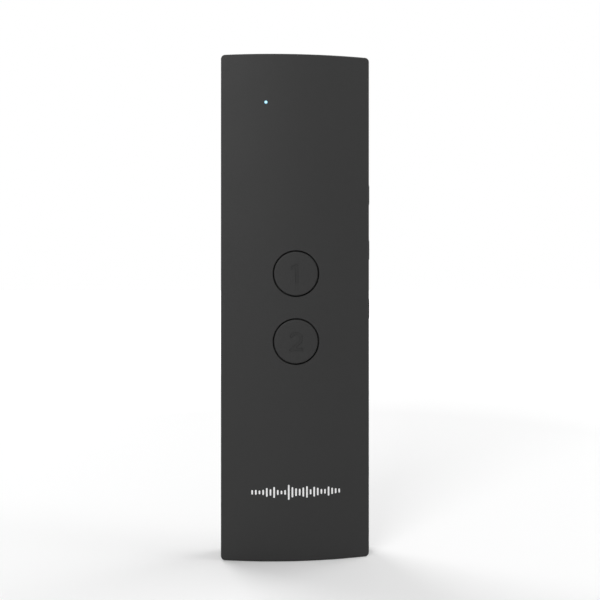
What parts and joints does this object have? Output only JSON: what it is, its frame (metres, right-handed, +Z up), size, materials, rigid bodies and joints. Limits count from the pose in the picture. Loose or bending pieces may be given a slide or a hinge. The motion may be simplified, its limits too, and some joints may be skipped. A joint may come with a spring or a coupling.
{
  "type": "handheld translator",
  "caption": "Slim upright handheld voice translator with a gently curved front, two round talk keys, side keys, status light, rear loudspeaker and bottom charging socket.",
  "frame": {"origin": "centre of the bottom end's outline, on the surface that the housing stands on", "axes": "+Z up along the housing, -Y out of the front face with the two round keys, +X to the right of the front, where the side keys are"},
  "size_m": [0.0424, 0.0116, 0.142],
  "materials": {
    "housing_plastic": "soft-touch matte",
    "key_plastic": "matte",
    "side_key_plastic": "matte",
    "key_silicone": "matte",
    "board_laminate": "solder-mask gloss",
    "switch_base": "matte",
    "switch_plunger": "matte",
    "screw_steel": "zinc plated",
    "light_clear": "clear moulded",
    "led": "lit, cyan-white",
    "chip_epoxy": "moulded epoxy",
    "can_steel": "tin plated",
    "ceramic_parts": "fired ceramic",
    "cell_foil": "foil laminate",
    "adhesive": "double-sided tape",
    "foam": "closed-cell foam",
    "connector_nylon": "natural nylon",
    "tail_film": "polyimide film",
    "speaker_plastic": "matte",
    "speaker_film": "polymer film",
    "yoke_steel": "zinc plated",
    "acoustic_cloth": "fine woven",
    "socket_steel": "nickel plated",
    "socket_plastic": "matte",
    "contact_gold": "gold plated",
    "microphone_metal": "plated can",
    "boot_rubber": "matte"
  },
  "bodies": {
    "housing": {"front_shell": "housing_plastic", "rear_shell": "housing_plastic", "main_board": "board_laminate", "board_screws": "screw_steel", "light_pipe": "light_clear", "status_led": "led", "processor_chip": "chip_epoxy", "memory_chip": "chip_epoxy", "shield_can": "can_steel", "board_passives": "ceramic_parts", "crystal": "can_steel", "antenna": "ceramic_parts", "battery_cell": "cell_foil", "battery_guard": "board_laminate", "battery_adhesive": "adhesive", "battery_foam": "foam", "battery_header": "connector_nylon", "battery_plug": "connector_nylon", "battery_tail": "tail_film", "speaker_frame": "speaker_plastic", "speaker_cone": "speaker_film", "speaker_magnet": "yoke_steel", "speaker_gasket": "foam", "speaker_contacts": "contact_gold", "grille_cloth": "acoustic_cloth", "socket_shell": "socket_steel", "socket_tongue": "socket_plastic", "socket_contacts": "contact_gold", "upper_microphone": "microphone_metal", "lower_microphone": "microphone_metal", "upper_microphone_boot": "boot_rubber", "lower_microphone_boot": "boot_rubber", "key_one_switch": "switch_base", "key_two_switch": "switch_base", "power_key_switch": "switch_base", "volume_up_key_switch": "switch_base", "volume_down_key_switch": "switch_base"},
    "key_one": {"key_one_cap": "key_plastic", "key_one_pad": "key_silicone", "key_one_plunger": "switch_plunger"},
    "key_two": {"key_two_cap": "key_plastic", "key_two_pad": "key_silicone", "key_two_plunger": "switch_plunger"},
    "power_key": {"power_key_cap": "side_key_plastic", "power_key_plunger": "switch_plunger"},
    "volume_up_key": {"volume_up_key_cap": "side_key_plastic", "volume_up_key_plunger": "switch_plunger"},
    "volume_down_key": {"volume_down_key_cap": "side_key_plastic", "volume_down_key_plunger": "switch_plunger"}
  },
  "joints": [
    {"name": "key_one_press", "type": "slide", "parent": "housing", "child": "key_one", "axis": [0, 1, 0], "range_m": [0, 0.0003], "stiffness_N_per_m": 5000, "springref_m": -0.0003},
    {"name": "key_two_press", "type": "slide", "parent": "housing", "child": "key_two", "axis": [0, 1, 0], "range_m": [0, 0.0003], "stiffness_N_per_m": 5000, "springref_m": -0.0003},
    {"name": "power_key_press", "type": "slide", "parent": "housing", "child": "power_key", "axis": [-1, 0, 0], "range_m": [0, 0.0003], "stiffness_N_per_m": 5000, "springref_m": -0.0003},
    {"name": "volume_up_key_press", "type": "slide", "parent": "housing", "child": "volume_up_key", "axis": [-1, 0, 0], "range_m": [0, 0.0003], "stiffness_N_per_m": 5000, "springref_m": -0.0003},
    {"name": "volume_down_key_press", "type": "slide", "parent": "housing", "child": "volume_down_key", "axis": [-1, 0, 0], "range_m": [0, 0.0003], "stiffness_N_per_m": 5000, "springref_m": -0.0003}
  ]
}
